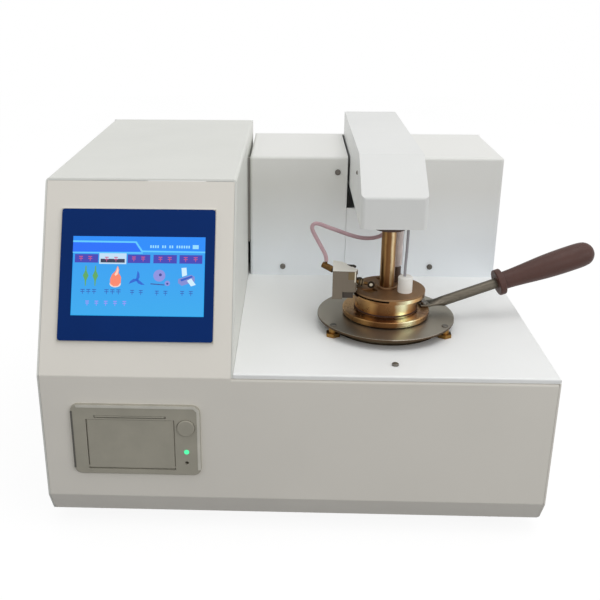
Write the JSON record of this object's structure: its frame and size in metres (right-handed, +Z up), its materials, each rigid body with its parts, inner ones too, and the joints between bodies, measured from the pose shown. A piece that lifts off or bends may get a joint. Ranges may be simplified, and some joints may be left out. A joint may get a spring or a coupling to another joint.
{
  "type": "flash point tester",
  "caption": "Bench closed-cup flash point tester: sloped screen console, printer, heated brass cup with handle, and a lifting arm carrying lid, stirrer, shutter, igniter and probes.",
  "frame": {"origin": "on the bench, under the middle of the housing's footprint", "axes": "+X to the operator's right, +Y towards the rear panel, +Z up"},
  "size_m": [0.4874, 0.3922, 0.306],
  "materials": {
    "white_paint": "fine-textured semi-matt white powder coat",
    "zinc_steel": "zinc-plated",
    "screen_glass": "glossy dark blue",
    "display": "lit display behind clear film",
    "printer_plastic": "fine satin grey",
    "black_plastic": "satin black",
    "rubber": "matt",
    "paper": "smooth thermal paper",
    "lamp_green": "clear green lens",
    "steel_plate": "heat-tinted turned steel",
    "brass": "turned and polished",
    "cast_iron": "as cast",
    "heater_band": "mica band heater",
    "steel": "ground",
    "aluminium": "machined",
    "motor_black": "satin black",
    "ptfe": "smooth white",
    "lead_grey": "smooth grey sheath",
    "lead_white": "smooth pale sleeve",
    "hose_pink": "translucent silicone",
    "bakelite": "moulded brown",
    "board_green": "solder mask"
  },
  "bodies": {
    "housing": {"base_pan": "white_paint", "feet": "rubber", "front_panel": "white_paint", "console_cover": "white_paint", "deck_plate": "white_paint", "tower_cover": "white_paint", "tower_filler": "white_paint", "rear_panel": "white_paint", "screen_bezel": "screen_glass", "screen_panel": "display", "printer_frame": "printer_plastic", "printer_tray": "black_plastic", "print_head": "black_plastic", "paper_roll": "paper", "printer_lamp": "lamp_green", "furnace_plate": "steel_plate", "plate_standoffs": "brass", "housing_screws": "zinc_steel", "cup_seat_ring": "brass", "furnace_block": "cast_iron", "furnace_heater": "heater_band", "furnace_can": "steel_plate", "lift_block": "aluminium", "lift_motor": "motor_black", "fan_housing": "black_plastic", "fan_guard": "zinc_steel", "power_inlet": "black_plastic", "switch_frame": "black_plastic", "gas_inlet": "brass", "power_supply": "zinc_steel", "control_board": "board_green"},
    "lift_arm": {"arm_cover": "white_paint", "arm_base_plate": "aluminium", "lift_rods": "steel", "lift_screw": "steel", "stirrer_motor": "motor_black", "shutter_motor": "motor_black", "column_tube": "brass", "lid_body": "brass", "lid_cap_plate": "brass", "sensor_plug": "ptfe", "detector_gland": "brass", "lid_probes": "steel", "temp_lead": "lead_grey", "detector_lead": "lead_white", "igniter_block": "aluminium", "gas_union": "brass", "gas_hose": "hose_pink"},
    "lid_shutter": {"shutter": "brass"},
    "stirrer": {"stirrer": "steel"},
    "igniter": {"igniter_nozzle": "brass"},
    "cup": {"test_cup": "brass", "handle_shank": "steel", "handle_screws": "steel", "handle_grip": "bakelite"},
    "paper_door": {"printer_door": "printer_plastic", "platen_roller": "rubber"},
    "feed_button": {"printer_button": "printer_plastic"},
    "mains_switch": {"power_switch": "black_plastic"},
    "fan": {"fan_rotor": "black_plastic"}
  },
  "joints": [
    {"name": "arm_lift", "type": "slide", "parent": "housing", "child": "lift_arm", "axis": [0, 0, 1], "range_m": [0, 0.105]},
    {"name": "cup_lift", "type": "slide", "parent": "housing", "child": "cup", "axis": [0, 0, 1], "range_m": [0, 0.0525]},
    {"name": "shutter_turn", "type": "hinge", "parent": "lift_arm", "child": "lid_shutter", "pos_m": [0.0819, -0.0734, 0.187], "axis": [0, 0, 1], "range_deg": [0, 34]},
    {"name": "igniter_dip", "type": "hinge", "parent": "lift_arm", "child": "igniter", "pos_m": [0.04637, -0.08302, 0.197], "axis": [0.0523, 0.9986, 0], "range_deg": [0, 17]},
    {"name": "stirrer_spin", "type": "hinge", "parent": "lift_arm", "child": "stirrer", "pos_m": [0.0819, -0.0734, 0.1821], "axis": [0, 0, 1], "continuous": true},
    {"name": "paper_door_swing", "type": "hinge", "parent": "housing", "child": "paper_door", "pos_m": [-0.1375, -0.1857, 0.0633], "axis": [1, 0, 0], "range_deg": [0, 95]},
    {"name": "feed_button_press", "type": "slide", "parent": "housing", "child": "feed_button", "axis": [0, 1, 0], "range_m": [0, 0.0012], "stiffness_N_per_m": 900, "springref_m": -0.0006},
    {"name": "mains_switch_rock", "type": "hinge", "parent": "housing", "child": "mains_switch", "pos_m": [-0.1425, 0.182, 0.094], "axis": [0, 0, 1], "range_deg": [0, 16]},
    {"name": "fan_spin", "type": "hinge", "parent": "housing", "child": "fan", "pos_m": [0.0875, 0.177, 0.078], "axis": [0, 1, 0], "continuous": true}
  ],
  "couplings": [
    {"joint": "cup_lift", "follows": "arm_lift", "ratio": 0.5},
    {"joint": "igniter_dip", "follows": "shutter_turn", "ratio": 0.5}
  ]
}
